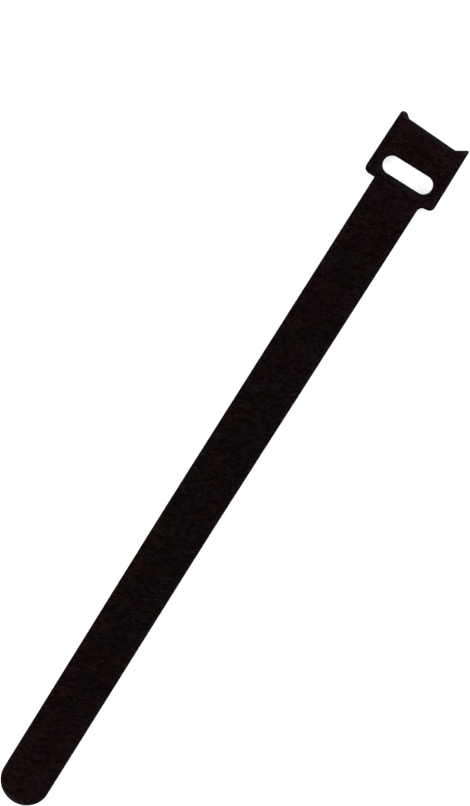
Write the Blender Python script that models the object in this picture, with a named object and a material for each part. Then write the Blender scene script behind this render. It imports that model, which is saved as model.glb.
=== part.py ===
"""A hook and loop cable tie: one flat piece, die-cut from back-to-back tape.

Units are metres and +Z is up. The tie lies on its hook side, with its loop
side up. +X runs along the strap to the head, and the origin is on the
supporting surface under the middle of the tie.

The strap passes through the slot in its own head and is wrapped back on
itself, so the slot is a little longer than the strap is wide.
"""

import math

import bmesh
import bpy
from mathutils import Vector

MM = 0.001

# The tape: rows of moulded hooks, the film that carries them, and the loop fabric.
HOOK_HEIGHT = 0.60 * MM
FILM_THICKNESS = 0.30 * MM
LOOP_THICKNESS = 1.10 * MM
PILE_ROUNDING = 0.35 * MM

# The strap and its round tail.
LENGTH = 200.0 * MM
STRAP_WIDTH = 13.0 * MM

# The slot across the head, which the tail goes through.
SLOT_WIDTH = 4.6 * MM
SLOT_CLEARANCE = 0.3 * MM

# The head: the tape left round the slot, up to the shoulders and the horn tips.
SIDE_WALL = 2.95 * MM
BACK_WALL = 2.2 * MM
FRONT_WALL = 10.1 * MM
HEAD_TAPER = 0.3 * MM
SHOULDER_LEAN_RIGHT = math.radians(6.0)
SHOULDER_LEAN_LEFT = math.radians(1.5)
SHOULDER_ROUNDING = 1.4 * MM
ROOT_ROUNDING_RIGHT = 1.4 * MM
ROOT_ROUNDING_LEFT = 0.2 * MM

# The end of the head, cut a little askew between two horns.
NOTCH_DEPTH = 1.25 * MM
NOTCH_ROUNDING = 0.1 * MM
END_SLANT = math.radians(2.5)
HORN_ROOT_RIGHT = 2.95 * MM
HORN_ROOT_LEFT = 2.5 * MM
HORN_TIP_RIGHT = 0.4 * MM
HORN_TIP_LEFT = 1.4 * MM
HORN_ROUNDING_RIGHT = 0.3 * MM
HORN_ROUNDING_LEFT = 0.8 * MM
HORN_INNER_ROUNDING_LEFT = 0.5 * MM

# The hook rows, which run along the tape. Each is a stem with a wider cap.
ROW_PITCH = 1.0 * MM
STEM_WIDTH = 0.24 * MM
CAP_WIDTH = 0.56 * MM
CAP_EDGE = 0.10 * MM
CAP_UNDERSIDE = 0.14 * MM
ROOT_FLARE = 0.08 * MM

ARC_STEP = math.radians(7.5)
PROFILE_STEPS = 3
CUTTER_REACH = 1.0 * MM
WELD_DISTANCE = 0.001 * MM

TAPE_COLOUR = "#110C0C"
TAPE_ROUGHNESS = 0.9

# What follows from those sizes.
THICKNESS = HOOK_HEIGHT + FILM_THICKNESS + LOOP_THICKNESS
SLOT_LENGTH = STRAP_WIDTH + 2 * SLOT_CLEARANCE
HEAD_WIDTH = SLOT_LENGTH + 2 * SIDE_WALL
HEAD_LENGTH = BACK_WALL + SLOT_WIDTH + FRONT_WALL
TAIL_X = -LENGTH / 2
TIP_X = LENGTH / 2
SHOULDER_X = TIP_X - HEAD_LENGTH
END_X = TIP_X - NOTCH_DEPTH
SLOT_X = SHOULDER_X + BACK_WALL + SLOT_WIDTH / 2
RIGHT = -1
LEFT = 1


def linear_colour(code):
    """Turns an sRGB hex code into the linear colour that a shader takes."""
    channels = [int(code[i : i + 2], 16) / 255 for i in (1, 3, 5)]
    linear = [c / 12.92 if c <= 0.04045 else ((c + 0.055) / 1.055) ** 2.4 for c in channels]
    return (*linear, 1.0)


def turned(vector, angle):
    """A plane vector turned anticlockwise by an angle."""
    cos, sin = math.cos(angle), math.sin(angle)
    return Vector((cos * vector.x - sin * vector.y, sin * vector.x + cos * vector.y))


def round_corner(before, corner, after, radius, inset):
    """The points of one corner, as an arc that touches both of its sides.

    The arc takes up no more than half of either side. The sides are moved
    inwards by the inset, so an outer corner's arc becomes tighter and an
    inner corner's arc wider. Every inset gives the same number of points.
    """
    side_in, side_out = corner - before, after - corner
    normal_in = side_in.normalized().orthogonal()
    normal_out = side_out.normalized().orthogonal()
    turn = math.atan2(side_in.cross(side_out), side_in.dot(side_out))
    outer = math.copysign(1, turn)
    room = min(side_in.length, side_out.length) / 2
    radius = min(radius, room / math.tan(abs(turn) / 2))
    arc_radius = max(radius - outer * inset, WELD_DISTANCE)
    inwards = (normal_in + normal_out) / (1 + math.cos(turn))
    centre = corner + inwards * outer * max(radius, outer * inset)
    start = normal_in * -outer * arc_radius
    steps = max(2, round(abs(turn) / ARC_STEP))
    return [centre + turned(start, turn * step / steps) for step in range(steps + 1)]


def rounded_outline(corners, inset=0.0):
    """Walks anticlockwise round corners, each a plane point and its radius."""
    places = [Vector(place) for place, _ in corners]
    outline = []
    for i, (_, radius) in enumerate(corners):
        after = places[(i + 1) % len(places)]
        outline += round_corner(places[i - 1], places[i], after, radius, inset)
    return outline


def side_at(x):
    """Half the width of the tapering head at a distance along the tie."""
    return HEAD_WIDTH / 2 - HEAD_TAPER * (x - SHOULDER_X) / HEAD_LENGTH


def shoulder(side, lean, root_rounding):
    """The inner and the outer corner where the strap widens to the head."""
    rise = HEAD_WIDTH / 2 - STRAP_WIDTH / 2
    root = ((SHOULDER_X - rise * math.tan(lean), side * STRAP_WIDTH / 2), root_rounding)
    outer = ((SHOULDER_X, side * HEAD_WIDTH / 2), SHOULDER_ROUNDING)
    return [root, outer]


def horn(side, root_width, tip_width, inner_rounding, outer_rounding):
    """The horn's outer and inner tip corners, and the corner of the notch."""
    tip_y = side_at(TIP_X)
    notch_y = tip_y - root_width
    notch_x = END_X + side * math.tan(END_SLANT) * notch_y
    return [
        ((TIP_X, side * tip_y), outer_rounding),
        ((TIP_X, side * (tip_y - tip_width)), inner_rounding),
        ((notch_x, side * notch_y), NOTCH_ROUNDING),
    ]


def tie_corners():
    """The corners of the die-cut outline, anticlockwise from the tail."""
    tail = [((TAIL_X, side * STRAP_WIDTH / 2), STRAP_WIDTH / 2) for side in (LEFT, RIGHT)]
    right = shoulder(RIGHT, SHOULDER_LEAN_RIGHT, ROOT_ROUNDING_RIGHT)
    right_tip = (HORN_TIP_RIGHT, HORN_ROUNDING_RIGHT, HORN_ROUNDING_RIGHT)
    right += horn(RIGHT, HORN_ROOT_RIGHT, *right_tip)
    left = shoulder(LEFT, SHOULDER_LEAN_LEFT, ROOT_ROUNDING_LEFT)
    left_tip = (HORN_TIP_LEFT, HORN_INNER_ROUNDING_LEFT, HORN_ROUNDING_LEFT)
    left += horn(LEFT, HORN_ROOT_LEFT, *left_tip)
    return tail + right + left[::-1]


def slot_corners():
    """The corners of the slot across the head, anticlockwise."""
    near, far = SLOT_X - SLOT_WIDTH / 2, SLOT_X + SLOT_WIDTH / 2
    right, left = RIGHT * SLOT_LENGTH / 2, LEFT * SLOT_LENGTH / 2
    places = [(near, right), (far, right), (far, left), (near, left)]
    return [(place, SLOT_WIDTH / 2) for place in places]


def edge_profile():
    """Inset and height of the cut edge: straight, then rounded into the pile."""
    levels = [(0.0, 0.0)]
    for step in range(PROFILE_STEPS + 1):
        angle = math.pi / 2 * step / PROFILE_STEPS
        inset = PILE_ROUNDING * (1 - math.cos(angle))
        height = THICKNESS - PILE_ROUNDING * (1 - math.sin(angle))
        levels.append((inset, height))
    return levels


def add_wall(shape, corners, inwards):
    """Stacks the outline's rings up the edge profile, with a wall between them."""
    rings = []
    for inset, height in edge_profile():
        outline = rounded_outline(corners, inset * inwards)
        rings.append([shape.verts.new((p.x, p.y, height)) for p in outline])
    for lower, upper in zip(rings, rings[1:]):
        for i in range(len(lower)):
            shape.faces.new((lower[i - 1], lower[i], upper[i], upper[i - 1]))


def tape_blank():
    """The die-cut blank with its slot, before the hook rows are formed."""
    shape = bmesh.new()
    add_wall(shape, tie_corners(), inwards=1)
    add_wall(shape, slot_corners(), inwards=-1)
    bmesh.ops.remove_doubles(shape, verts=shape.verts, dist=WELD_DISTANCE)
    rims = [edge for edge in shape.edges if edge.is_boundary]
    upper = [edge for edge in rims if edge.verts[0].co.z > THICKNESS / 2]
    lower = [edge for edge in rims if edge.verts[0].co.z < THICKNESS / 2]
    for rim in (upper, lower):
        bmesh.ops.triangle_fill(shape, use_beauty=True, edges=rim)
    bmesh.ops.recalc_face_normals(shape, faces=shape.faces)
    return shape


def row_places():
    """How far each hook row lies to the side of the tie's centreline.

    An odd number of rows fills the strap, so its cut edges fall midway
    between rows. The rows go on across the head as far as whole caps fit.
    """
    count = 2 * round((STRAP_WIDTH / ROW_PITCH - 1) / 2) + 1
    pitch = STRAP_WIDTH / count
    last = int((side_at(TIP_X) - CAP_WIDTH / 2) / pitch)
    return [index * pitch for index in range(-last, last + 1)]


def row_flank():
    """One side of a hook row, as distances from its middle and heights."""
    return [
        (CAP_WIDTH / 2, -CUTTER_REACH),
        (CAP_WIDTH / 2, CAP_EDGE),
        (STEM_WIDTH / 2, CAP_EDGE + CAP_UNDERSIDE),
        (STEM_WIDTH / 2, HOOK_HEIGHT - ROOT_FLARE),
        (STEM_WIDTH / 2 + ROOT_FLARE, HOOK_HEIGHT),
    ]


def gap_profiles():
    """The section of each gap between two rows, and of the margin at each side."""
    rows = row_places()
    beyond = HEAD_WIDTH / 2 + CUTTER_REACH
    right_flanks = [[(row - across, z) for across, z in reversed(row_flank())] for row in rows]
    left_flanks = [[(row + across, z) for across, z in row_flank()] for row in rows]
    right_margin = [(-beyond, -CUTTER_REACH), (-beyond, HOOK_HEIGHT)]
    left_margin = [(beyond, HOOK_HEIGHT), (beyond, -CUTTER_REACH)]
    starts = [right_margin] + left_flanks
    finishes = right_flanks + [left_margin]
    return [start + finish for start, finish in zip(starts, finishes)]


def row_gaps():
    """The long prisms between the rows, each running past both ends of the tie."""
    shape = bmesh.new()
    ends = (TAIL_X - CUTTER_REACH, TIP_X + CUTTER_REACH)
    for profile in gap_profiles():
        rings = [[shape.verts.new((x, y, z)) for y, z in profile] for x in ends]
        for i in range(len(profile)):
            shape.faces.new((rings[0][i - 1], rings[0][i], rings[1][i], rings[1][i - 1]))
        for ring in rings:
            shape.faces.new(ring)
    bmesh.ops.recalc_face_normals(shape, faces=shape.faces)
    return shape


def add_object(name, shape):
    """Puts a finished shape into the scene as an object of its own."""
    mesh = bpy.data.meshes.new(name)
    shape.to_mesh(mesh)
    shape.free()
    thing = bpy.data.objects.new(name, mesh)
    bpy.context.scene.collection.objects.link(thing)
    return thing


def tape_material():
    """Near-black brushed nylon, matt all over."""
    material = bpy.data.materials.new("brushed_nylon_tape")
    material.use_nodes = True
    shader = material.node_tree.nodes["Principled BSDF"]
    shader.inputs["Base Color"].default_value = linear_colour(TAPE_COLOUR)
    shader.inputs["Roughness"].default_value = TAPE_ROUGHNESS
    shader.inputs["Metallic"].default_value = 0.0
    return material


def make_tie():
    """The tie: the blank, with the gaps between its hook rows cut from below."""
    tie = add_object("cable_tie", tape_blank())
    tie.data.materials.append(tape_material())
    gaps = add_object("row_gaps", row_gaps())
    gaps.hide_render = True
    gaps.display_type = "WIRE"
    cut = tie.modifiers.new("hook rows", "BOOLEAN")
    cut.operation = "DIFFERENCE"
    cut.solver = "EXACT"
    cut.object = gaps
    return tie


def clear_scene():
    """Removes every object that the file opened with."""
    for thing in list(bpy.data.objects):
        bpy.data.objects.remove(thing, do_unlink=True)


clear_scene()
make_tie()
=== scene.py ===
"""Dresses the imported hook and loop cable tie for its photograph.

The tie is one flat piece of back-to-back tape. Its plain solid is replaced by
the layers that the eye tells apart: the brushed loop fabric with its pile on
top, the moulded film under it, and the hooks that stand on the film.

Named lengths are millimetres and angles are degrees, unless a name says
otherwise. Points are worked out in millimetres too, and turned into metres
when they are put into a mesh.
"""

import math

import bpy
import numpy as np
from mathutils.geometry import delaunay_2d_cdt
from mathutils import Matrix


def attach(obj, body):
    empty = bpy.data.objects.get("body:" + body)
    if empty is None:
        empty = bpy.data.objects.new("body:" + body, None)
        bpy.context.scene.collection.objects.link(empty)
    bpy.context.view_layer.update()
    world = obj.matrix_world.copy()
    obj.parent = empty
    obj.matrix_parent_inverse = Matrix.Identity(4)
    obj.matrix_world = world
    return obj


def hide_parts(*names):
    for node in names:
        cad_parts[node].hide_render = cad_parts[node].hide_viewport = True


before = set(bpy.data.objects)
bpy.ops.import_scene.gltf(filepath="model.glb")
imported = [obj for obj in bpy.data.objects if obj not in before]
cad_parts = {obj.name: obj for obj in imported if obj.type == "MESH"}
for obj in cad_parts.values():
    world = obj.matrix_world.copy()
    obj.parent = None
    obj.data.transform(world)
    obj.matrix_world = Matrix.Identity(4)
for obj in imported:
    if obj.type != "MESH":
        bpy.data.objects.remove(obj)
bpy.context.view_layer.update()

MM = 0.001

# A length too short to count. Its cube keeps a division from one by nothing.
TINY = 1e-3

# The Delaunay net takes points nearer than this as one, and this kind of net
# leaves out what lies outside its rims or in a hole.
NET_TOLERANCE = 1e-7
INSIDE_BUT_HOLES = 2

# Distances to the outline are worked out for this many points at a time, so
# that the arrays stay small.
POINTS_AT_ONCE = 8000

# The tape's two lower layers, as in the part's source.
HOOK_HEIGHT = 0.60
FILM_THICKNESS = 0.30
FILM_TOP = HOOK_HEIGHT + FILM_THICKNESS

# The die-cut outline, as in the part's source.
LENGTH = 200.0
STRAP_WIDTH = 13.0
SLOT_WIDTH = 4.6
SLOT_CLEARANCE = 0.3
SIDE_WALL = 2.95
BACK_WALL = 2.2
FRONT_WALL = 10.1
HEAD_TAPER = 0.3
SHOULDER_LEAN_RIGHT = 6.0
SHOULDER_LEAN_LEFT = 1.5
SHOULDER_ROUNDING = 1.4
ROOT_ROUNDING_RIGHT = 1.4
ROOT_ROUNDING_LEFT = 0.2
NOTCH_DEPTH = 1.25
NOTCH_ROUNDING = 0.1
END_SLANT = 2.5
HORN_ROOT_RIGHT = 2.95
HORN_ROOT_LEFT = 2.5
HORN_TIP_RIGHT = 0.4
HORN_TIP_LEFT = 1.4
HORN_ROUNDING_RIGHT = 0.3
HORN_ROUNDING_LEFT = 0.8
HORN_INNER_ROUNDING_LEFT = 0.5
SLOT_LENGTH = STRAP_WIDTH + 2 * SLOT_CLEARANCE
HEAD_WIDTH = SLOT_LENGTH + 2 * SIDE_WALL
HEAD_LENGTH = BACK_WALL + SLOT_WIDTH + FRONT_WALL
TAIL_X = -LENGTH / 2
TIP_X = LENGTH / 2
SHOULDER_X = TIP_X - HEAD_LENGTH
END_X = TIP_X - NOTCH_DEPTH
SLOT_X = SHOULDER_X + BACK_WALL + SLOT_WIDTH / 2
OUTLINE_STEP = 0.2

# The real strap isn't quite straight: it bows sideways in its own plane.
BOW_MIDDLE = -15.0
BOW_FLATNESS = 12.0
BOW_SLOPE = 0.0049
BOW_OFFSET = 0.2

# The loop fabric's cut edge and the ground that its pile stands on. It spreads
# past the die-cut outline, and sinks into the film by the overlap.
LAYER_OVERLAP = 0.03
FABRIC_BASE = FILM_TOP - LAYER_OVERLAP
EDGE_HEIGHT = 1.30
GROUND_HEIGHT = 1.72
EDGE_ROLL = 1.1
CROWN_HEIGHT = 0.16
CROWN_REACH = 2.0
EDGE_SPREAD = 0.06
TOP_INSET = 0.0
GRID_STEP = 0.23
GRID_JITTER = 0.35
TUFT_SIZE = 0.75
TUFT_RELIEF = 0.09
FUZZ_SIZE = 0.33
FUZZ_RELIEF = 0.045
WAVE_SIZE = 4.5
WAVE_RELIEF = 0.03
RELIEF_MARGIN = 0.5
CUT_WANDER = 0.012

# A layer's levels, from the bottom up: how far each ring of its cut edge lies
# inside the outline, and how high.
FABRIC_LEVELS = [
    (0.02, FABRIC_BASE),
    (-EDGE_SPREAD, 0.98),
    (-EDGE_SPREAD, EDGE_HEIGHT - 0.02),
    (0.02 - EDGE_SPREAD, 1.38),
    (TOP_INSET, 1.44),
]
FILM_LEVELS = [(0.04, HOOK_HEIGHT), (0.0, HOOK_HEIGHT + 0.04), (0.0, FILM_TOP)]

# Smooth noise repeats after this many cells in its two directions, too far
# off to show. Each use of random numbers has a seed of its own.
NOISE_CELLS = (1024, 128)
TUFT_SEED = 1
FUZZ_SEED = 2
WAVE_SEED = 3
CUT_SEED = 4
GRID_SEED = 5
PILE_SEED = 100

# The pile. A real filament is half as thick and there are ten times as many,
# so these are drawn coarser, as coarse as the mesh has room for.
PILE_PIECES = 4
LOOPS_A_PIECE = 3900
TRIES_A_LOOP = 5
LOOP_POINTS = 8
LOOP_SIDES = 3
FILAMENT_RADIUS = 0.030
FILAMENT_SPREAD = (0.8, 1.2)
LOOP_BEND = (0.30, 1.20)
LOOP_LENGTH = (0.9, 2.0)
LOOP_STRAY = 30.0
LOOP_RISE = (0.08, 0.30)
LOOP_SINK = 0.05
SMALLEST_LOOP = 0.3
EDGE_CROWDING = 0.9
INNER_SHARE = 0.55
FRINGE_REACH = 0.03

# How light each loop is beside its surroundings: any tone up to the highest,
# and for a few loops the pale one.
TONE_SPREAD = 0.95
HIGHEST_TONE = 4.2
PALE_SHARE = 0.002
PALE_TONE = 4.5

# The pile was brushed across the strap at a slant, from its left side at the
# tail towards its right side at the head, and its clumps are drawn out so.
BRUSHING = -58.0
CLUMP_STRETCH = 3.0

# Along the cut edges that face this way, towards the right lamp's side, the colour gets a grey band
# of painted highlight.
PAINTED_HIGHLIGHT = -20.0
PAINTED_HIGHLIGHT_WIDTH = 0.9

# The hooks: sliced from moulded ridges, so all have one section.
ROW_PITCH = 1.0
HOOK_PITCH = 0.9
HOOK_MARGIN = 0.3
HOOK_ROOT_LENGTH = 0.36
HOOK_CAP_LENGTH = 0.24

# The brushed nylon's patches of hue, its clumps and streaks, and its fuzz. A
# real streak is a few filaments wide and the fuzz is finer still, so both are
# drawn as coarse as they need to show. The film has the marks of its moulding.
PATCH_SIZE = 7.0
CLUMP_SIZE = 1.2
STREAK_SIZE = 0.42
STREAK_WEIGHT = 1.8
GRAIN_SIZE = 0.12
GRAIN_RELIEF = 0.05
FLOW_SIZE = 1.5

# How the brushed colour changes over the tie. Its patches of hue are full
# within one reach of its middle, and past the other only a share is left. The
# right side is painted cooler, as a cool lamp there would tint it. Each paling
# is how many times lighter the colour gets. The edges' paling, the pale tips and
# the grey band along edges on the right lamp's side are painted light.
MIDDLE_REACH = 40.0
END_REACH = 98.0
END_PATCHES = 0.15
MIDDLE_PALING = 0.95
END_PALING = 1.10
PAINTED_COOL_LIGHT_START = 2.0
PAINTED_COOL_LIGHT_FULL = -7.0
PAINTED_COOL_LIGHT = 0.5
EDGE_PAINTED_LIGHT_WIDTH = 5.0
EDGE_PAINTED_LIGHT = 1.28
TIPS_START = 98.4
TIPS_FULL = 99.8
TIPS_PAINTED_HIGHLIGHT = 0.8
PAINTED_HIGHLIGHT_SHARE = (0.35, 0.90)
HEAD_START = 78.0
BODY_PALING = 0.94
HEAD_PALING = 1.22

# The studio. Full light makes a white surface render as white: the sky gives
# this share of it, and the floor glows so much more where it is seen.
SKY_SHARE = 0.42
FLOOR_GLOW = 0.67
FLOOR_WHITE = 0.8
FLOOR_REACH = 3000.0
LAMP_DISTANCE = 900.0

# The camera, fitted to the outline in the photograph.
CAMERA_PLACE = (91.5977, -11.2202, 464.5600)
CAMERA_TURN_RADIANS = (-0.11409720, 0.11443629, -1.01429473)
CAMERA_LENS = 85.0
CAMERA_SENSOR = 36.0

# The flat layout that textures are baked on, a square of real millimetres: a
# layer's shown face in strips, then its cut edge in rows, and a small patch
# for the face that its neighbour hides.
BAKE_STRIPS = 3
BAKE_STRIP_LENGTH = LENGTH / BAKE_STRIPS
BAKE_STRIP_PITCH = 20.2
BAKE_MARGIN = 0.45
BAKE_ROWS = 8
BAKE_ROW_PITCH = 0.75
BAKE_HIDDEN_SCALE = 0.05
BAKE_SIZE = BAKE_STRIP_LENGTH + 2 * BAKE_MARGIN
BAKE_ROWS_START = BAKE_STRIPS * BAKE_STRIP_PITCH
BAKE_HIDDEN_START = BAKE_ROWS_START + BAKE_ROWS * BAKE_ROW_PITCH

# Each loop of the pile has a cell there, with this share of it as a margin.
PILE_CELL_MARGIN = 0.1


def turned(vectors, angle):
    """Plane vectors turned anticlockwise: (cos x - sin y, sin x + cos y)."""
    x, y = vectors[..., 0], vectors[..., 1]
    cos, sin = np.cos(angle), np.sin(angle)
    return np.stack([cos * x - sin * y, sin * x + cos * y], axis=-1)


def round_corner(before, corner, after, radius, inset):
    """One corner as an arc that touches both of its sides.

    The centre lies from the corner along the sum of both sides' inward
    normals, divided by 1 + cos(turn) and times the radius. The arc starts on
    the side that comes in and is turned through the corner's angle in equal
    steps. An inset moves both sides inwards, so an outer corner's arc gets
    tighter and an inner corner's wider.
    """
    side_in, side_out = corner - before, after - corner
    normal_in = turned(side_in / np.hypot(*side_in), math.pi / 2)
    normal_out = turned(side_out / np.hypot(*side_out), math.pi / 2)
    cross = side_in[0] * side_out[1] - side_in[1] * side_out[0]
    turn = math.atan2(cross, side_in @ side_out)
    outer = math.copysign(1, turn)
    room = min(np.hypot(*side_in), np.hypot(*side_out)) / 2
    radius = min(radius, room / math.tan(abs(turn) / 2))
    arc_radius = max(radius - outer * inset, TINY)
    inwards = (normal_in + normal_out) / (1 + math.cos(turn))
    centre = corner + inwards * outer * max(radius, outer * inset)
    steps = max(3, math.ceil(abs(turn) * radius / OUTLINE_STEP))
    turns = turn * np.linspace(0, 1, steps + 1)[:, None]
    return centre + turned(-outer * arc_radius * normal_in, turns)[:, 0]


def rounded_outline(corners, inset=0.0):
    """Walks anticlockwise round corners, each given as x, y and a radius."""
    places, radii = corners[:, :2], corners[:, 2]
    neighbours = zip(np.roll(places, 1, 0), places, np.roll(places, -1, 0), radii)
    return np.concatenate([round_corner(*corner, inset) for corner in neighbours])


def shoulder(side, lean, root_rounding):
    """The inner and the outer corner where the strap widens to the head."""
    rise = (HEAD_WIDTH - STRAP_WIDTH) / 2
    root_x = SHOULDER_X - rise * math.tan(math.radians(lean))
    root = (root_x, side * STRAP_WIDTH / 2, root_rounding)
    return [root, (SHOULDER_X, side * HEAD_WIDTH / 2, SHOULDER_ROUNDING)]


def horn(side, root_width, tip_width, inner_rounding, outer_rounding):
    """The horn's outer and inner tip corners, and the corner of the notch."""
    tip_y = HEAD_WIDTH / 2 - HEAD_TAPER
    notch_y = tip_y - root_width
    notch_x = END_X + side * math.tan(math.radians(END_SLANT)) * notch_y
    return [
        (TIP_X, side * tip_y, outer_rounding),
        (TIP_X, side * (tip_y - tip_width), inner_rounding),
        (notch_x, side * notch_y, NOTCH_ROUNDING),
    ]


def tie_corners():
    """The corners of the die-cut outline, anticlockwise from the tail."""
    tail = [(TAIL_X, side * STRAP_WIDTH / 2, STRAP_WIDTH / 2) for side in (1, -1)]
    right = shoulder(-1, SHOULDER_LEAN_RIGHT, ROOT_ROUNDING_RIGHT)
    right_tip = (HORN_TIP_RIGHT, HORN_ROUNDING_RIGHT, HORN_ROUNDING_RIGHT)
    right += horn(-1, HORN_ROOT_RIGHT, *right_tip)
    left = shoulder(1, SHOULDER_LEAN_LEFT, ROOT_ROUNDING_LEFT)
    left_tip = (HORN_TIP_LEFT, HORN_INNER_ROUNDING_LEFT, HORN_ROUNDING_LEFT)
    left += horn(1, HORN_ROOT_LEFT, *left_tip)
    return np.array(tail + right + left[::-1])


def slot_corners():
    """The corners of the slot across the head, anticlockwise."""
    near, far = SLOT_X - SLOT_WIDTH / 2, SLOT_X + SLOT_WIDTH / 2
    half = SLOT_LENGTH / 2
    places = [(near, -half), (far, -half), (far, half), (near, half)]
    return np.array([(*place, SLOT_WIDTH / 2) for place in places])


def divided(outline, reference):
    """Splits every side into equal parts no longer than the outline step.

    The parts are counted on the reference outline, so that each inset of it
    gets the same number of points. A side with no length gives none.
    """
    sides = np.roll(reference, -1, 0) - reference
    lengths = np.maximum(np.hypot(*sides.T) - TINY, 0)
    counts = np.ceil(lengths / OUTLINE_STEP).astype(int)
    side = np.repeat(np.arange(len(counts)), counts)
    place = np.arange(counts.sum()) - np.repeat(np.cumsum(counts) - counts, counts)
    part = (place / counts[side])[:, None]
    return outline[side] + part * (np.roll(outline, -1, 0) - outline)[side]


TIE = tie_corners()
SLOT = slot_corners()
RIMS = [rounded_outline(TIE), rounded_outline(SLOT)[::-1]]
SIDE_STARTS = np.concatenate(RIMS)
SIDE_ENDS = np.concatenate([np.roll(rim, -1, 0) for rim in RIMS])


def depth_inside(points):
    """How far inside the outline each point lies, less than nothing outside.

    It is the least distance to any side of the outline or the slot, with the
    sign of an odd count of sides crossed on the way out along +x.
    """
    depths = []
    for block in np.array_split(points, max(1, len(points) // POINTS_AT_ONCE)):
        start, end = SIDE_STARTS[None], SIDE_ENDS[None]
        way, off = end - start, block[:, None] - start
        share = np.clip((way * off).sum(-1) / np.maximum((way * way).sum(-1), TINY**3), 0, 1)
        gap = np.linalg.norm(off - share[..., None] * way, axis=-1).min(1)
        spans = (start[..., 1] > block[:, 1:]) != (end[..., 1] > block[:, 1:])
        slope = way[..., 0] / np.where(way[..., 1] == 0, TINY**3, way[..., 1])
        beyond = start[..., 0] + slope * off[..., 1] > block[:, :1]
        inside = (spans & beyond).sum(1) % 2 == 1
        depths.append(np.where(inside, gap, -gap))
    return np.concatenate(depths)


def smooth_noise(points, size, seed):
    """Random heights from -1 to 1 at the corners of square cells of a size.

    They are blended in each direction by the smooth step 3t^2 - 2t^3.
    """
    table = np.random.default_rng(seed).uniform(-1, 1, NOISE_CELLS)
    cell = np.floor(points / size).astype(int)
    t = points / size - cell
    t = t * t * (3 - 2 * t)
    u, v = t.T
    (i, j), (next_i, next_j) = (cell % NOISE_CELLS).T, ((cell + 1) % NOISE_CELLS).T
    near = table[i, j] * (1 - u) + table[next_i, j] * u
    far = table[i, next_j] * (1 - u) + table[next_i, next_j] * u
    return near * (1 - v) + far * v


def ground_height(points, depth):
    """The height of the fabric under the pile.

    At the cut edge it is low. It rises along a quarter of an ellipse as wide
    as the roll, and on to the full height as 1 - exp(-depth / reach). Past a
    margin it carries three sizes of noise: tufts and fuzz, both drawn out
    along the brushing, and slow waves.
    """
    depth = depth + EDGE_SPREAD
    roll = np.sqrt(1 - (1 - np.clip(depth / EDGE_ROLL, 0, 1)) ** 2)
    combed = turned(points, -math.radians(BRUSHING)) / (CLUMP_STRETCH, 1)
    relief = TUFT_RELIEF * smooth_noise(combed, TUFT_SIZE, TUFT_SEED)
    relief += FUZZ_RELIEF * smooth_noise(combed, FUZZ_SIZE, FUZZ_SEED)
    relief += WAVE_RELIEF * smooth_noise(points, WAVE_SIZE, WAVE_SEED)
    relief *= np.clip(depth / RELIEF_MARGIN, 0, 1)
    crown = CROWN_HEIGHT * (1 - np.exp(-np.maximum(depth, 0) / CROWN_REACH))
    return EDGE_HEIGHT + (GROUND_HEIGHT - CROWN_HEIGHT - EDGE_HEIGHT) * roll + crown + relief


def edge_highlight_mask(points):
    """From 0 to 1, how near a cut edge that faces the band's way lies: the mask
    of a grey painted highlight along the edges on the right lamp's side.

    It is how much shallower the tie gets over one band width that way, in
    widths, with depths held within one width of the outline.
    """
    way = turned(np.array([PAINTED_HIGHLIGHT_WIDTH, 0.0]), math.radians(PAINTED_HIGHLIGHT))
    here = depth_inside(points).clip(-PAINTED_HIGHLIGHT_WIDTH, PAINTED_HIGHLIGHT_WIDTH)
    ahead = depth_inside(points + way).clip(-PAINTED_HIGHLIGHT_WIDTH, PAINTED_HIGHLIGHT_WIDTH)
    return np.clip((here - ahead) / PAINTED_HIGHLIGHT_WIDTH, 0, 1)


def bowed(points):
    """Moves points sideways along the strap's bow, one branch of a hyperbola."""
    along = points[:, 0] - BOW_MIDDLE
    shift = BOW_OFFSET - BOW_SLOPE * np.sqrt(along**2 + BOW_FLATNESS**2)
    return points + np.stack([0 * shift, shift, 0 * shift], axis=-1)


def add_piece(name, points, faces, material, smooth=True):
    """Makes a mesh from points in millimetres and arrays of faces.

    Each array of faces has one row a face, and one column a corner.
    """
    corners = np.concatenate([part.ravel() for part in faces])
    sizes = np.concatenate([np.full(len(part), part.shape[1]) for part in faces])
    mesh = bpy.data.meshes.new(name)
    mesh.vertices.add(len(points))
    mesh.vertices.foreach_set("co", (bowed(points) * MM).ravel())
    mesh.loops.add(len(corners))
    mesh.loops.foreach_set("vertex_index", corners)
    mesh.polygons.add(len(sizes))
    mesh.polygons.foreach_set("loop_start", np.cumsum(sizes) - sizes)
    mesh.polygons.foreach_set("use_smooth", np.full(len(sizes), smooth))
    mesh.update(calc_edges=True)
    mesh.materials.append(material)
    piece = bpy.data.objects.new(name, mesh)
    bpy.context.scene.collection.objects.link(piece)
    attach(piece, "root")
    return piece


def set_values(piece, name, values):
    """Gives every point of a piece a value that its material can read."""
    piece.data.attributes.new(name, "FLOAT", "POINT").data.foreach_set("value", values)


def set_bake_map(piece, places):
    """Gives a piece its bake layout, from arrays of faces, corners and u v."""
    corners = np.concatenate([part.reshape(-1, 2) for part in places])
    layer = piece.data.uv_layers.new(name="OFBake")
    layer.uv.foreach_set("vector", corners.ravel())


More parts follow.
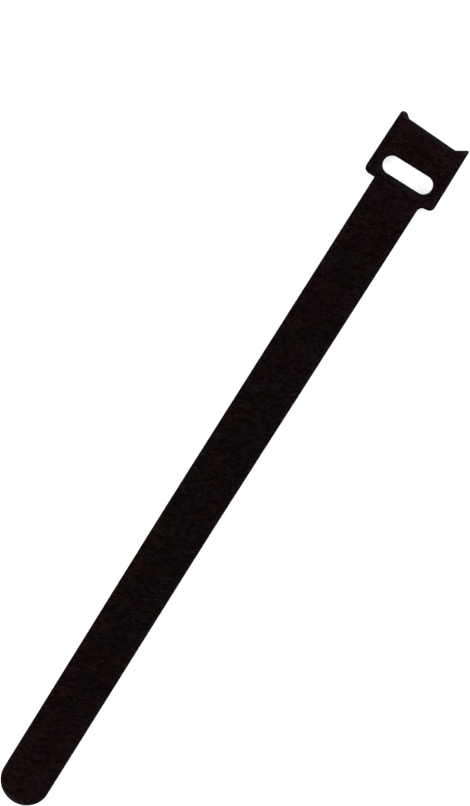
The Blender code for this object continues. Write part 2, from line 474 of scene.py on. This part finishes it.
def layer_places(plan, steps, rises, shown, hidden, walls):
    """Where a layer's faces lie on the bake layout, as shares of its side.

    The shown face is cut into strips at equal lengths, each face in the strip
    of its middle. The hidden face is the plan made small. The cut edge is
    unrolled, its run along the outline by its height, and cut into rows.
    """
    middle = plan[shown].mean(1, keepdims=True)[..., 0]
    strip = np.floor((middle - TAIL_X) / BAKE_STRIP_LENGTH).clip(0, BAKE_STRIPS - 1)
    along = plan[shown][..., 0] - TAIL_X - strip * BAKE_STRIP_LENGTH + BAKE_MARGIN
    across = plan[shown][..., 1] + (strip + 0.5) * BAKE_STRIP_PITCH
    level, start = np.divmod(walls[:, 0], len(steps))
    run = (np.cumsum(steps) - steps)[start]
    row = np.floor(run / BAKE_STRIP_LENGTH)
    near = run - row * BAKE_STRIP_LENGTH + BAKE_MARGIN
    far = near + steps[start]
    base = BAKE_ROWS_START + row * BAKE_ROW_PITCH
    low, high = base + rises[level], base + rises[level + 1]
    unrolled = np.stack([near, low, far, low, far, high, near, high], axis=-1).reshape(-1, 4, 2)
    small = (plan[hidden] - (TAIL_X, -HEAD_WIDTH / 2 - EDGE_SPREAD)) * BAKE_HIDDEN_SCALE
    small += (BAKE_MARGIN, BAKE_HIDDEN_START)
    return [part / BAKE_SIZE for part in (np.stack([along, across], axis=-1), small, unrolled)]


def cell_places(count, shapes):
    """Lays like bits out in a square grid of cells, one bit a cell.

    Each shape is an array of faces, corners and u v within the cell.
    """
    side = math.ceil(math.sqrt(count))
    cells = np.stack(np.divmod(np.arange(count), side), axis=-1)
    return [(cells[:, None, None] + shape) / side for shape in shapes]


def tube_places(lengthwise, around):
    """The quads of a tube unrolled on a unit square, ring by ring."""
    rings, parts = np.meshgrid(np.arange(lengthwise), np.arange(around), indexing="ij")
    corners = [(parts, rings), (parts, rings + 1), (parts + 1, rings + 1), (parts + 1, rings)]
    return np.moveaxis(np.array(corners), (0, 1), (2, 3)).reshape(-1, 4, 2) / (around, lengthwise)


def ring_faces(lower, upper):
    """Quads between two closed rings of point numbers, facing outwards."""
    return np.stack([lower, np.roll(lower, -1), np.roll(upper, -1), upper], axis=-1)


def sheet_faces(points, rims):
    """Triangles that fill the space between the rims, from a Delaunay net.

    The rims come first among the points. The net leaves out what lies outside
    the outline or in the slot, and its triangles are turned to face upwards.
    """
    rims = [list(map(int, rim)) for rim in rims]
    corners = [tuple(point) for point in points]
    net = delaunay_2d_cdt(corners, [], rims, INSIDE_BUT_HOLES, NET_TOLERANCE)
    source = np.array([origin[0] for origin in net[3]])
    triangles = source[np.array(net[2])]
    a, b, c = (points[triangles[:, k]] for k in range(3))
    turn = (b - a)[:, 0] * (c - a)[:, 1] - (b - a)[:, 1] * (c - a)[:, 0]
    return np.where(turn[:, None] > 0, triangles, triangles[:, ::-1])


def cut_edge(levels, wander):
    """The rings of a layer's cut edge in plan, and where its slot's part starts.

    Each ring is the outline and then the slot, at its level's inset and with
    as many points as every other ring. Smooth noise times the wander moves all
    of them outwards or inwards alike.
    """
    tie, slot = rounded_outline(TIE), rounded_outline(SLOT)
    plans = []
    for inset, _ in levels:
        outer = divided(rounded_outline(TIE, inset), tie)
        inner = divided(rounded_outline(SLOT, -inset), slot)
        plans.append(np.concatenate([outer, inner[::-1]]))
    side = np.roll(plans[0], -1, 0) - np.roll(plans[0], 1, 0)
    out = turned(side / np.maximum(np.linalg.norm(side, axis=1), TINY)[:, None], -math.pi / 2)
    drift = wander * smooth_noise(plans[0], FUZZ_SIZE, CUT_SEED)
    return [plan + out * drift[:, None] for plan in plans], len(outer)


def jittered_grid():
    """A square grid of points in plan, each moved at random, inside the tie."""
    rng = np.random.default_rng(GRID_SEED)
    across = np.arange(-HEAD_WIDTH / 2, HEAD_WIDTH / 2, GRID_STEP)
    along = np.arange(TAIL_X, TIP_X, GRID_STEP)
    grid = np.stack(np.meshgrid(along, across, indexing="ij"), axis=-1).reshape(-1, 2)
    grid += rng.uniform(-GRID_JITTER, GRID_JITTER, grid.shape) * GRID_STEP
    return grid[depth_inside(grid) > TOP_INSET + GRID_STEP / 2]


def add_layer(name, levels, material, wander=0.0, ground=None):
    """A closed flat layer of the tape, from its lower face to its upper face.

    Levels give the inset and height of each ring of the cut edge, from the
    bottom up. With a ground, the upper face is a net of points on a jittered
    grid whose heights the ground gives, and otherwise it is flat.
    """
    plans, split = cut_edge(levels, wander)
    count = len(plans[0])
    rings = np.arange(count * len(levels)).reshape(len(levels), count)
    heights = [np.full(count, height) for _, height in levels]
    inner_points, inner_heights = np.empty((0, 2)), np.empty(0)
    if ground:
        inner_points = jittered_grid()
        inner_heights = ground(inner_points, depth_inside(inner_points))
        heights[-1] = ground(plans[-1], np.full(count, levels[-1][0]))
    rims = [np.arange(split), np.arange(split, count)]
    upper = rings[-1][0] + sheet_faces(np.concatenate([plans[-1], inner_points]), rims)
    lower = sheet_faces(plans[0], rims)[:, ::-1]
    walls = []
    for below, above in zip(rings, rings[1:]):
        walls += [ring_faces(below[:split], above[:split]), ring_faces(below[split:], above[split:])]
    flat = np.concatenate([*plans, inner_points])
    points = np.column_stack([flat, np.concatenate([*heights, inner_heights])])
    layer = add_piece(name, points, [lower, *walls, upper], material)
    sides = [np.roll(rim, -1, 0) - rim for rim in np.split(plans[0], [split])]
    steps = np.hypot(*np.concatenate(sides).T)
    rises = np.concatenate([[0], np.cumsum(np.hypot(*np.diff(np.array(levels), axis=0).T))])
    shown, hidden = (upper, lower) if ground else (lower, upper)
    places = layer_places(flat, steps, rises, shown, hidden, np.concatenate(walls))
    shown_place, hidden_place, wall_place = places
    under, over = (hidden_place, shown_place) if ground else (shown_place, hidden_place)
    set_bake_map(layer, [under, wall_place, over])
    set_values(layer, "from_edge", depth_inside(flat))
    # Where the painted highlight band lies; the depth just set feeds the painted edge light.
    set_values(layer, "edge_highlight_mask", edge_highlight_mask(flat))
    return layer


def loop_paths(rng, count):
    """The middle lines of pile loops, as an array of loops, points and x y z.

    In plan each is an arc of a circle, with a bend radius and a length drawn
    at random, about along the brushing to one side or the other of its
    middle, and made smaller where it would reach past the cut edge. It
    stands on the ground, rises as the sine of half a turn over its length,
    and both its ends sink into the fabric. More loops are drawn along the
    edges, where they are smaller, and those that still reach out are left out.
    An arc's middle runs at right angles to its radius, hence the 90 degrees.
    """
    tries = TRIES_A_LOOP * count
    reach = np.array([TIP_X, HEAD_WIDTH / 2]) + EDGE_SPREAD
    middle = rng.uniform(-reach, reach, (tries, 2))
    depth = depth_inside(middle)
    thinned = (depth < EDGE_CROWDING) | (rng.uniform(size=tries) < INNER_SHARE)
    kept = (depth > 0) & thinned
    middle, depth = middle[kept], depth[kept]
    drawn = len(middle)
    radius = rng.uniform(*LOOP_BEND, drawn)
    length = rng.uniform(*LOOP_LENGTH, drawn)
    heading = np.radians(BRUSHING + rng.normal(90, LOOP_STRAY, drawn))
    side = rng.choice((-1.0, 1.0), drawn)
    rise = rng.uniform(*LOOP_RISE, drawn)
    t = np.linspace(0, 1, LOOP_POINTS)
    angle = heading[:, None] + (length / radius)[:, None] * (t - 0.5)
    arc = (side * radius)[:, None, None] * np.stack([np.cos(angle), np.sin(angle)], axis=-1)
    arc -= arc.mean(1, keepdims=True)
    wide = np.linalg.norm(arc, axis=-1).max(1)
    fit = np.clip((depth + FRINGE_REACH) / wide, SMALLEST_LOOP, 1)
    plan = middle[:, None] + fit[:, None, None] * arc
    flat = plan.reshape(-1, 2)
    depth = depth_inside(flat)
    lift = np.sin(math.pi * t)
    height = ground_height(flat, depth).reshape(drawn, LOOP_POINTS)
    height += (rise * fit**0.5)[:, None] * lift - LOOP_SINK * (1 - lift)
    kept = (depth.reshape(drawn, LOOP_POINTS) > -EDGE_SPREAD - FRINGE_REACH).all(1)
    return np.concatenate([plan, height[..., None]], axis=-1)[kept][:count]


def add_pile(index, material):
    """Pile loops as thin closed tubes of three sides along their middle lines.

    Each ring of a tube lies across its path: its points are the middle, plus
    the radius times cos(a) of the level direction across the path and sin(a)
    of the direction at right angles to both. In its cell of the bake layout
    the unrolled tube lies between its two end faces.
    """
    rng = np.random.default_rng(PILE_SEED + index)
    paths = loop_paths(rng, LOOPS_A_PIECE)
    count = len(paths)
    along = np.gradient(paths, axis=1)
    along /= np.linalg.norm(along, axis=-1, keepdims=True)
    across = np.cross(along, (0.0, 0.0, 1.0))
    across /= np.maximum(np.linalg.norm(across, axis=-1, keepdims=True), TINY)
    upwards = np.cross(across, along)
    turn = 2 * math.pi * np.arange(LOOP_SIDES) / LOOP_SIDES + math.pi / 2
    radius = FILAMENT_RADIUS * rng.uniform(*FILAMENT_SPREAD, (count, 1, 1, 1))
    ring = np.cos(turn)[:, None] * across[:, :, None] + np.sin(turn)[:, None] * upwards[:, :, None]
    points = (paths[:, :, None] + radius * ring).reshape(-1, 3)
    number = np.arange(len(points)).reshape(count, LOOP_POINTS, LOOP_SIDES)
    after = np.roll(number, -1, axis=2)
    sides = np.stack([number[:, :-1], number[:, 1:], after[:, 1:], after[:, :-1]], axis=-1)
    ends = [number[:, 0], number[:, -1, ::-1]]
    pile = add_piece(f"loop_pile_{index}", points, [sides.reshape(-1, 4), *ends], material)
    tube = PILE_CELL_MARGIN + (1 - 2 * PILE_CELL_MARGIN) * tube_places(LOOP_POINTS - 1, LOOP_SIDES)
    cap = PILE_CELL_MARGIN * np.array([[(1.0, 0.2), (5.0, 0.7), (9.0, 0.2)]])
    set_bake_map(pile, cell_places(count, [tube, cap, 1 - cap]))
    tone = np.exp(rng.normal(0, TONE_SPREAD, count)).clip(max=HIGHEST_TONE)
    tone[rng.uniform(size=count) < PALE_SHARE] = PALE_TONE
    set_values(pile, "loop_tone", np.repeat(tone, LOOP_POINTS * LOOP_SIDES))
    middles = paths[:, LOOP_POINTS // 2, :2]
    set_values(pile, "from_edge", np.repeat(depth_inside(middles), LOOP_POINTS * LOOP_SIDES))
    # Where the painted highlight band lies; the depth just set feeds the painted edge light.
    set_values(pile, "edge_highlight_mask", np.repeat(edge_highlight_mask(middles), LOOP_POINTS * LOOP_SIDES))
    return pile


def hook_section():
    """Half a hook's section, as distances across from its middle and heights.

    From its root on the film a stem rises to a cap whose rim droops back.
    """
    return np.array(
        [
            (0.20, HOOK_HEIGHT + 0.02),
            (0.12, 0.52),
            (0.11, 0.25),
            (0.17, 0.20),
            (0.24, 0.23),
            (0.28, 0.18),
            (0.26, 0.09),
            (0.15, 0.0),
        ]
    )


def add_hooks(material):
    """The hooks, each its section drawn along the tape for a short length.

    The section's points at one side are mirrored for the other. Each point's
    two copies lie half a length ahead and behind, and that length goes from
    the root's to the cap's with the height. In its cell of the bake layout the
    unrolled walls lie over its two ends, side by side.
    """
    half = hook_section()
    section = np.concatenate([half, half[::-1] * (-1, 1)])
    lengths = (HOOK_CAP_LENGTH, HOOK_ROOT_LENGTH)
    length = np.interp(section[:, 1], (0, HOOK_HEIGHT), lengths)
    sides = len(section)
    shape = np.stack([np.column_stack([sign * length / 2, section]) for sign in (-1, 1)])
    rows = int(HEAD_WIDTH / 2 / ROW_PITCH)
    across = ROW_PITCH * np.arange(-rows, rows + 1)
    along = np.arange(TAIL_X + HOOK_PITCH / 2, TIP_X, HOOK_PITCH)
    places = np.stack(np.meshgrid(along, across, indexing="ij"), axis=-1).reshape(-1, 2)
    places = places[depth_inside(places) > HOOK_MARGIN]
    count = len(places)
    shifts = np.column_stack([places, np.zeros(count)])
    points = (shape.reshape(-1, 3) + shifts[:, None]).reshape(-1, 3)
    number = np.arange(len(points)).reshape(count, 2, sides)
    after = np.roll(number, -1, axis=2)
    walls = np.stack([number[:, 0], number[:, 1], after[:, 1], after[:, 0]], axis=-1)
    ends = [number[:, 0, :], number[:, 1, ::-1]]
    hooks = add_piece("hooks", points, [walls.reshape(-1, 4), *ends], material, smooth=False)
    ribbon = (0.05, 0.55) + tube_places(1, sides) * (0.9, 0.4)
    cap = (0.25, 0.05) + section[None] * 0.7
    other_cap = (0.75, 0.05) + section[None, ::-1] * (-0.7, 0.7)
    set_bake_map(hooks, cell_places(count, [ribbon, cap, other_cap]))
    return hooks


def linear_colour(code):
    """An sRGB hex code as the linear colour that a shader takes."""
    channels = np.array([int(code[i : i + 2], 16) / 255 for i in (1, 3, 5)])
    linear = np.where(channels <= 0.04045, channels / 12.92, ((channels + 0.055) / 1.055) ** 2.4)
    return (*linear, 1.0)


def add_node(tree, kind, feeds, **settings):
    """Adds a node: feeds gives its inputs values or other nodes' outputs.

    An input is called by its name, or by its number where names repeat.
    """
    node = tree.nodes.new("ShaderNode" + kind)
    for key, value in settings.items():
        setattr(node, key, value)
    for key, value in feeds.items():
        if isinstance(value, bpy.types.NodeSocket):
            tree.links.new(value, node.inputs[key])
        else:
            node.inputs[key].default_value = value
    return node


def new_material(name):
    """An empty node material, its tree, and its object coordinates."""
    material = bpy.data.materials.new(name)
    material.use_nodes = True
    tree = material.node_tree
    tree.nodes.clear()
    place = add_node(tree, "TexCoord", {}).outputs["Object"]
    return material, tree, place


def per_metre(size):
    """The texture scale that gives a pattern of a size in millimetres."""
    return 1 / (size * MM)


def close_material(tree, shader):
    """Puts a shader on the material's output."""
    add_node(tree, "OutputMaterial", {"Surface": shader.outputs[0]})


# A Mix node's inputs and its output for colours, by number as names repeat.
SHARE, FIRST, SECOND, MIXED = 0, 6, 7, 2


def patchy_black(tree, patches, axes, middle, purple, brown, cool):
    """Slow patches that turn between a purple, a brown and a cool black.

    Noise lies near a half, so a narrow range of it is stretched. Both ends are
    more purple, and the right side gets the painted tint of a cool lamp.
    """
    hue = add_node(
        tree,
        "MapRange",
        {"Value": patches.outputs["Fac"], "From Min": 0.42, "From Max": 0.56},
    )
    # Painted light: the cool tint that a cool lamp on the right would give that side.
    painted_cool_tint = add_node(
        tree,
        "MapRange",
        {
            "Value": axes.outputs["Y"],
            "From Min": PAINTED_COOL_LIGHT_START * MM,
            "From Max": PAINTED_COOL_LIGHT_FULL * MM,
            "To Max": PAINTED_COOL_LIGHT,
        },
    )
    hue = add_node(
        tree,
        "Math",
        {0: hue.outputs[0], 1: painted_cool_tint.outputs[0]},
        operation="ADD",
        use_clamp=True,
    )
    hue = add_node(
        tree,
        "Math",
        {0: hue.outputs[0], 1: middle.outputs[0]},
        operation="MULTIPLY",
    )
    other_patches = add_node(tree, "SeparateColor", {"Color": patches.outputs["Color"]})
    browning = add_node(
        tree,
        "MapRange",
        {"Value": other_patches.outputs["Green"], "From Min": 0.44, "From Max": 0.56},
    )
    browning = add_node(
        tree,
        "Math",
        {0: browning.outputs[0], 1: middle.outputs[0]},
        operation="MULTIPLY",
    )
    warm = add_node(
        tree,
        "Mix",
        {SHARE: browning.outputs[0], FIRST: linear_colour(purple), SECOND: linear_colour(brown)},
        data_type="RGBA",
    )
    return add_node(
        tree,
        "Mix",
        {SHARE: hue.outputs[0], FIRST: warm.outputs[MIXED], SECOND: linear_colour(cool)},
        data_type="RGBA",
    )


def combed_light(tree, place):
    """From 0 to 1, how light the clumps and streaks of the brushed nylon are.

    Both are noise drawn out along the brushing. The streaks' noise times their
    weight is added to the clumps', and a narrow range of the sum is stretched.
    """
    combed = add_node(
        tree,
        "Mapping",
        {
            "Vector": place,
            "Rotation": (0, 0, math.radians(BRUSHING)),
            "Scale": (CLUMP_STRETCH, 1, 1),
        },
        vector_type="TEXTURE",
    )
    clumps = add_node(
        tree,
        "TexNoise",
        {
            "Vector": combed.outputs[0],
            "Scale": per_metre(CLUMP_SIZE),
            "Detail": 1.0,
            "Roughness": 0.7,
        },
    )
    streaks = add_node(
        tree,
        "TexNoise",
        {
            "Vector": combed.outputs[0],
            "Scale": per_metre(STREAK_SIZE),
            "Detail": 1.0,
            "Roughness": 0.6,
        },
    )
    light = add_node(
        tree,
        "Math",
        {0: streaks.outputs["Fac"], 1: STREAK_WEIGHT, 2: clumps.outputs["Fac"]},
        operation="MULTIPLY_ADD",
    )
    return add_node(
        tree,
        "MapRange",
        {"Value": light.outputs[0], "From Min": 1.27, "From Max": 1.51},
    )


def paled(tree, shade, far, middle):
    """A shade made paler towards both ends of the tie, and towards the cut edges
    as painted edge light.

    The tail's and the horns' tips are palest, mixed towards a warm grey: a
    painted highlight.
    """
    # Painted edge light: the colour gets paler within a few millimetres of a cut edge.
    inside = add_node(tree, "Attribute", {}, attribute_name="from_edge")
    paling = add_node(
        tree,
        "MapRange",
        {
            "Value": inside.outputs["Fac"],
            "From Min": EDGE_PAINTED_LIGHT_WIDTH,
            "From Max": 0.0,
            "To Min": 1.0,
            "To Max": EDGE_PAINTED_LIGHT,
        },
    )
    ends = add_node(
        tree,
        "MapRange",
        {
            "Value": middle.outputs[0],
            "From Min": END_PATCHES,
            "From Max": 1.0,
            "To Min": END_PALING,
            "To Max": MIDDLE_PALING,
        },
    )
    paling = add_node(
        tree,
        "Math",
        {0: paling.outputs[0], 1: ends.outputs[0]},
        operation="MULTIPLY",
    )
    shade = add_node(
        tree,
        "VectorMath",
        {0: shade.outputs[MIXED], "Scale": paling.outputs[0]},
        operation="SCALE",
    )
    # Painted highlight: the tail's and horns' tips are mixed towards a warm grey.
    tips = add_node(
        tree,
        "MapRange",
        {
            "Value": far.outputs[0],
            "From Min": TIPS_START * MM,
            "From Max": TIPS_FULL * MM,
            "To Max": TIPS_PAINTED_HIGHLIGHT,
        },
    )
    return add_node(
        tree,
        "Mix",
        {SHARE: tips.outputs[0], FIRST: shade.outputs[0], SECOND: linear_colour("#3F3432")},
        data_type="RGBA",
    )


def with_edge_highlight(tree, shade, patches, edge):
    """A shade turned a neutral grey along the cut edges that face the right
    lamp's side: a painted highlight.

    How much of it turns grey is uneven, by one more channel of the patches.
    """
    channels = add_node(tree, "SeparateColor", {"Color": patches.outputs["Color"]})
    least, most = PAINTED_HIGHLIGHT_SHARE
    uneven = add_node(
        tree,
        "MapRange",
        {
            "Value": channels.outputs["Blue"],
            "From Min": 0.40,
            "From Max": 0.58,
            "To Min": least,
            "To Max": most,
        },
    )
    # Painted highlight: a grey band along the cut edges on the right lamp's side.
    highlight_amount = add_node(tree, "Attribute", {}, attribute_name="edge_highlight_mask")
    highlight_amount = add_node(
        tree,
        "Math",
        {0: highlight_amount.outputs["Fac"], 1: uneven.outputs[0]},
        operation="MULTIPLY",
    )
    return add_node(
        tree,
        "Mix",
        {SHARE: highlight_amount.outputs[0], FIRST: shade.outputs[MIXED], SECOND: linear_colour(edge)},
        data_type="RGBA",
    )


def brushed_shades(tree, place, deep, purple, brown, cool, edge):
    """The brushed nylon's colour with its painted light, the same for the ground
    and its pile.

    Clumps and streaks go from deep to a black whose patches differ in hue.
    The colour pales towards the ends and, as painted edge light, towards the
    cut edges. It turns grey along the edges on the right lamp's side, a painted
    highlight, and gets lighter through the head. The right side gets the
    painted tint of a cool lamp.
    """
    patches = add_node(
        tree,
        "TexNoise",
        {"Vector": place, "Scale": per_metre(PATCH_SIZE), "Detail": 2.0, "Roughness": 0.6},
    )
    axes = add_node(tree, "SeparateXYZ", {"Vector": place})
    far = add_node(tree, "Math", {0: axes.outputs["X"]}, operation="ABSOLUTE")
    middle = add_node(
        tree,
        "MapRange",
        {
            "Value": far.outputs[0],
            "From Min": END_REACH * MM,
            "From Max": MIDDLE_REACH * MM,
            "To Min": END_PATCHES,
            "To Max": 1.0,
        },
    )
    black = patchy_black(tree, patches, axes, middle, purple, brown, cool)
    light = combed_light(tree, place)
    shade = add_node(
        tree,
        "Mix",
        {SHARE: light.outputs[0], FIRST: linear_colour(deep), SECOND: black.outputs[MIXED]},
        data_type="RGBA",
    )
    shade = with_edge_highlight(tree, paled(tree, shade, far, middle), patches, edge)
    head = add_node(
        tree,
        "MapRange",
        {
            "Value": axes.outputs["X"],
            "From Min": HEAD_START * MM,
            "From Max": TIP_X * MM,
            "To Min": BODY_PALING,
            "To Max": HEAD_PALING,
        },
    )
    return add_node(
        tree,
        "VectorMath",
        {0: shade.outputs[MIXED], "Scale": head.outputs[0]},
        operation="SCALE",
    )


def loop_fabric_material():
    """Knitted nylon, brushed on its face: a matt black that traps the light."""
    material, tree, place = new_material("brushed_nylon_loop_fabric")
    shades = brushed_shades(
        tree,
        place,
        deep="#0A0001",
        purple="#1E0D0F",
        brown="#1E1008",
        cool="#110F0D",
        # edge: the grey of the painted highlight along edges on the right lamp's side.
        edge="#171817",
    )
    fuzz = add_node(
        tree,
        "TexNoise",
        {"Vector": place, "Scale": per_metre(GRAIN_SIZE), "Detail": 2.0},
    )
    bump = add_node(
        tree,
        "Bump",
        {"Height": fuzz.outputs["Fac"], "Distance": GRAIN_RELIEF * MM, "Strength": 0.6},
    )
    shader = add_node(
        tree,
        "BsdfPrincipled",
        {
            "Base Color": shades.outputs[0],
            "Roughness": 0.95,
            "IOR": 1.53,
            "Specular IOR Level": 0.03,
            "Normal": bump.outputs["Normal"],
        },
    )
    close_material(tree, shader)
    return material


def pile_material():
    """Nylon filament in loops: black, with a little more shine than the ground.

    Each loop has a tone of its own, and the palest all have one hue.
    """
    material, tree, place = new_material("nylon_pile_filament")
    shades = brushed_shades(
        tree,
        place,
        deep="#0A0202",
        purple="#1E1112",
        brown="#1E140B",
        cool="#14120F",
        # edge: the grey of the painted highlight along edges on the right lamp's side.
        edge="#1B1C1B",
    )
    tone = add_node(tree, "Attribute", {}, attribute_name="loop_tone")
    paleness = add_node(
        tree,
        "MapRange",
        {"Value": tone.outputs["Fac"], "From Min": 1.0, "From Max": 3.0},
    )
    evened = add_node(
        tree,
        "Mix",
        {SHARE: paleness.outputs[0], FIRST: shades.outputs[0], SECOND: linear_colour("#1A1215")},
        data_type="RGBA",
    )
    varied = add_node(
        tree,
        "VectorMath",
        {0: evened.outputs[MIXED], "Scale": tone.outputs["Fac"]},
        operation="SCALE",
    )
    shader = add_node(
        tree,
        "BsdfPrincipled",
        {
            "Base Color": varied.outputs[0],
            "Roughness": 0.6,
            "IOR": 1.53,
            "Specular IOR Level": 0.05,
        },
    )
    close_material(tree, shader)
    return material


def hook_material():
    """Moulded nylon: black and smooth, with a soft satin shine."""
    material, tree, place = new_material("moulded_nylon_hooks")
    flow = add_node(
        tree,
        "TexNoise",
        {"Vector": place, "Scale": per_metre(FLOW_SIZE), "Detail": 2.0},
    )
    colour = add_node(
        tree,
        "Mix",
        {
            SHARE: flow.outputs["Fac"],
            FIRST: linear_colour("#0B0909"),
            SECOND: linear_colour("#161313"),
        },
        data_type="RGBA",
    )
    rough = add_node(
        tree,
        "MapRange",
        {"Value": flow.outputs["Fac"], "To Min": 0.45, "To Max": 0.60},
    )
    shader = add_node(
        tree,
        "BsdfPrincipled",
        {
            "Base Color": colour.outputs[MIXED],
            "Roughness": rough.outputs[0],
            "IOR": 1.53,
            "Specular IOR Level": 0.15,
        },
    )
    close_material(tree, shader)
    return material


def soft_light(name, azimuth, elevation, size, share, colour):
    """A square lamp aimed at the tie, which gives it a share of full light.

    Full light makes a white surface render as white. A lamp of P watts at a
    distance d and elevation e gives P sin(e) / (pi d)^2 of it.
    """
    distance = LAMP_DISTANCE * MM
    turn, rise = math.radians(azimuth), math.radians(elevation)
    lamp = bpy.data.lights.new(name, "AREA")
    lamp.size = size * MM
    lamp.energy = share * (math.pi * distance) ** 2 / math.sin(rise)
    lamp.color = linear_colour(colour)[:3]
    thing = bpy.data.objects.new(name, lamp)
    thing.location = (
        distance * math.cos(turn) * math.cos(rise),
        distance * math.sin(turn) * math.cos(rise),
        distance * math.sin(rise),
    )
    thing.rotation_euler = (0, math.pi / 2 - rise, turn)
    bpy.context.scene.collection.objects.link(thing)


def seeing_ray(tree):
    """One for the rays that should see plain white, and nothing for the others.

    Camera, glossy and transmission rays see the white, so the background and
    its reflections are white while the light on the object stays plain.
    """
    path = add_node(tree, "LightPath", {})
    seen = add_node(
        tree,
        "Math",
        {0: path.outputs["Is Camera Ray"], 1: path.outputs["Is Glossy Ray"]},
        operation="MAXIMUM",
    )
    seen = add_node(
        tree,
        "Math",
        {0: seen.outputs[0], 1: path.outputs["Is Transmission Ray"]},
        operation="MAXIMUM",
    )
    return seen.outputs[0]


def add_floor():
    """A large pale floor, which keeps the tie's soft shadow."""
    mesh = bpy.data.meshes.new("floor")
    reach = FLOOR_REACH * MM
    corners = [(-reach, -reach, 0), (reach, -reach, 0), (reach, reach, 0), (-reach, reach, 0)]
    mesh.from_pydata(corners, [], [(0, 1, 2, 3)])
    floor = bpy.data.objects.new("floor", mesh)
    bpy.context.scene.collection.objects.link(floor)
    material = bpy.data.materials.new("white_paper_floor")
    material.use_nodes = True
    tree = material.node_tree
    tree.nodes.clear()
    white = add_node(tree, "BsdfDiffuse", {"Color": (FLOOR_WHITE, FLOOR_WHITE, FLOOR_WHITE, 1)})
    seen = seeing_ray(tree)
    glow = add_node(tree, "Emission", {"Color": (1, 1, 1, 1), "Strength": FLOOR_GLOW})
    both = add_node(tree, "AddShader", {0: white.outputs[0], 1: glow.outputs[0]})
    shader = add_node(tree, "MixShader", {0: seen, 1: white.outputs[0], 2: both.outputs[0]})
    close_material(tree, shader)
    mesh.materials.append(material)


def add_world():
    """White all round: plain light on the tie, and full white where it is seen."""
    world = bpy.data.worlds.new("white_surround")
    bpy.context.scene.world = world
    world.use_nodes = True
    tree = world.node_tree
    tree.nodes.clear()
    seen = seeing_ray(tree)
    strength = add_node(tree, "MapRange", {"Value": seen, "To Min": SKY_SHARE, "To Max": 1.0})
    sky = add_node(tree, "Background", {"Color": (1, 1, 1, 1), "Strength": strength.outputs[0]})
    add_node(tree, "OutputWorld", {"Surface": sky.outputs[0]})


def add_camera():
    """The photograph's view: nearly straight down, fitted to the outline."""
    camera = bpy.data.cameras.new("camera")
    camera.lens = CAMERA_LENS
    camera.sensor_width = CAMERA_SENSOR
    camera.sensor_fit = "AUTO"
    camera.clip_start = 0.01
    camera.clip_end = 20.0
    thing = bpy.data.objects.new("camera", camera)
    thing.location = [length * MM for length in CAMERA_PLACE]
    thing.rotation_euler = CAMERA_TURN_RADIANS
    bpy.context.scene.collection.objects.link(thing)
    bpy.context.scene.camera = thing


hook_finish = hook_material()
fabric = add_layer(
    "loop_fabric",
    FABRIC_LEVELS,
    loop_fabric_material(),
    wander=CUT_WANDER,
    ground=ground_height,
)
film = add_layer("hook_film", FILM_LEVELS, hook_finish)
hooks = add_hooks(hook_finish)
filament = pile_material()
pile = [add_pile(index, filament) for index in range(1, PILE_PIECES + 1)]
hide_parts("cable_tie")
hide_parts("cable_tie")

add_world()
add_floor()
soft_light("left_lamp", azimuth=140, elevation=24, size=500, share=0.32, colour="#FFF3EC")
soft_light("right_lamp", azimuth=-45, elevation=14, size=300, share=0.26, colour="#F2F7FF")
add_camera()
bpy.context.scene.view_settings.view_transform = "Standard"
